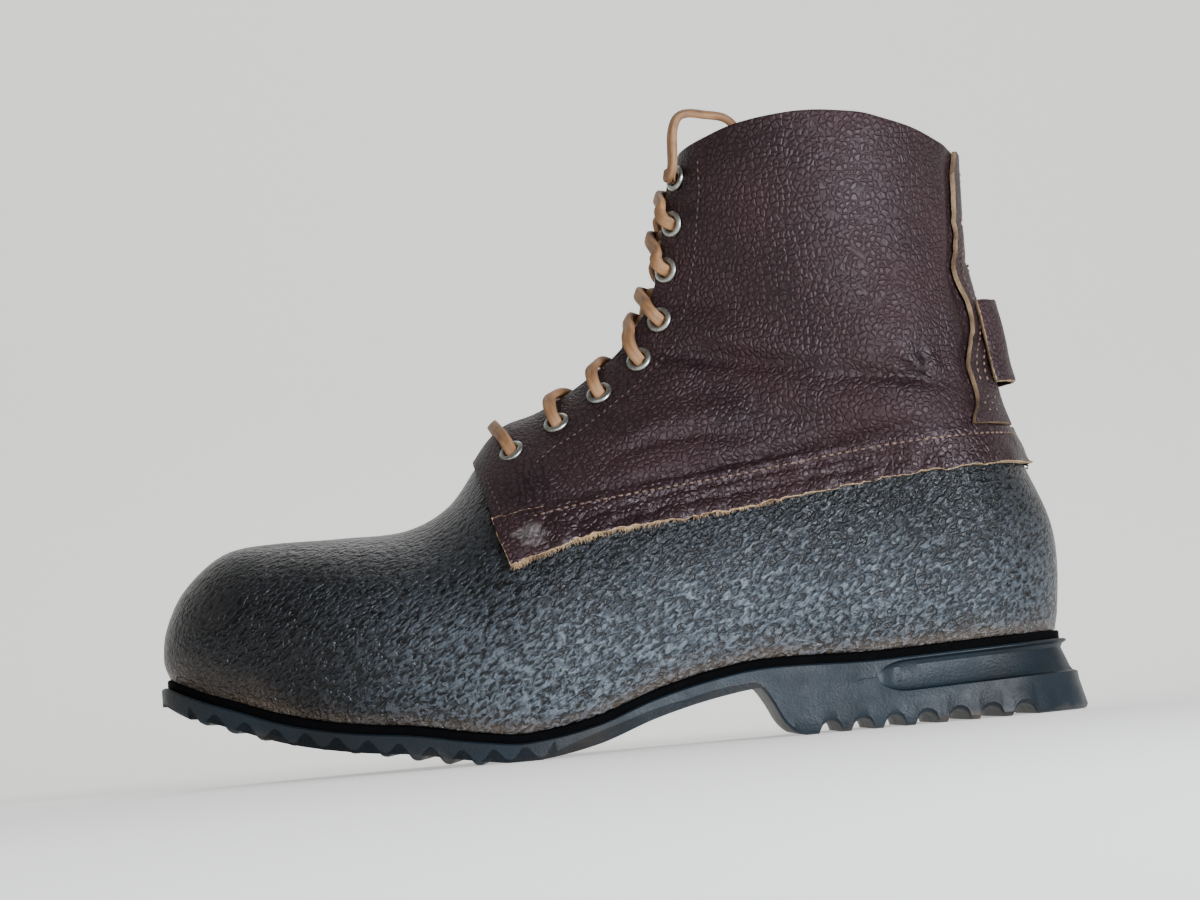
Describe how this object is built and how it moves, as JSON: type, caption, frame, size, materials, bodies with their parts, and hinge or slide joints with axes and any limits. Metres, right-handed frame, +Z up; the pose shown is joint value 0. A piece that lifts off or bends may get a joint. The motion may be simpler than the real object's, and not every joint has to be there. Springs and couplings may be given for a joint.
{
  "type": "laced combat boot",
  "caption": "Laced ankle-high field boot with a pebbled rubber-coated lower, a smooth leather shaft, leather lace and a toothed moulded rubber sole with heel.",
  "frame": {"origin": "on the ground, under the middle of the boot's box without the free lace end", "axes": "+Z up, -X towards the toe, -Y towards the wearer's left, the outer side of this left boot"},
  "size_m": [0.3, 0.1062, 0.2045],
  "materials": {
    "coated_leather": "rubber-coated, pebbled, dull, dusty by the sole",
    "burgundy_leather": "grained, waxed, soft sheen",
    "tongue_leather": "dull",
    "insole_leather": "bare, matt",
    "midsole_rubber": "matt",
    "sole_rubber": "satin, moulded",
    "eyelet_metal": "aged, dull",
    "lace_leather": "bare rawhide, matt"
  },
  "bodies": {
    "root": {"upper": "coated_leather", "shaft": "burgundy_leather", "seam_band": "burgundy_leather", "backstay": "burgundy_leather", "keeper_loop": "burgundy_leather", "tongue": "tongue_leather", "insole": "insole_leather", "midsole": "midsole_rubber", "outsole": "sole_rubber", "lace": "lace_leather", "lace_end": "lace_leather", "eyelet_1_left": "eyelet_metal", "eyelet_2_left": "eyelet_metal", "eyelet_3_left": "eyelet_metal", "eyelet_4_left": "eyelet_metal", "eyelet_5_left": "eyelet_metal", "eyelet_6_left": "eyelet_metal", "eyelet_7_left": "eyelet_metal", "eyelet_8_left": "eyelet_metal", "eyelet_1_right": "eyelet_metal", "eyelet_2_right": "eyelet_metal", "eyelet_3_right": "eyelet_metal", "eyelet_4_right": "eyelet_metal", "eyelet_5_right": "eyelet_metal", "eyelet_6_right": "eyelet_metal", "eyelet_7_right": "eyelet_metal", "eyelet_8_right": "eyelet_metal"}
  },
  "joints": []
}
